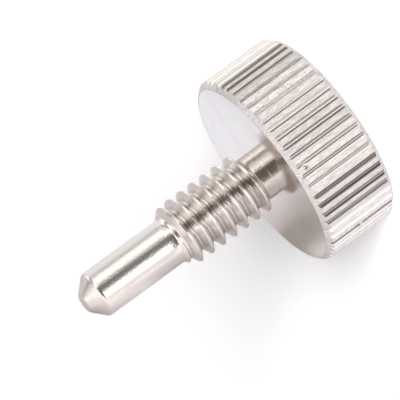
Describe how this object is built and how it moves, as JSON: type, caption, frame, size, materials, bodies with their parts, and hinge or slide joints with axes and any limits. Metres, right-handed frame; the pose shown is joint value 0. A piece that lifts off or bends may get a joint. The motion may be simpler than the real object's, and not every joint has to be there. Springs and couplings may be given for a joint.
{
  "type": "thumb screw",
  "caption": "Thumb screw turned in one piece: round straight-knurled head, relief neck, coarse right-hand thread and a long plain dog point.",
  "frame": {"origin": "centre of the flat top of the head, which the screw stands on", "axes": "+Z along the screw's axis from the head's top towards the tip"},
  "size_m": [0.019, 0.019, 0.0274],
  "materials": {
    "nickel": "bright nickel plate over turned steel"
  },
  "bodies": {
    "root": {"thumb_screw": "nickel"}
  },
  "joints": []
}
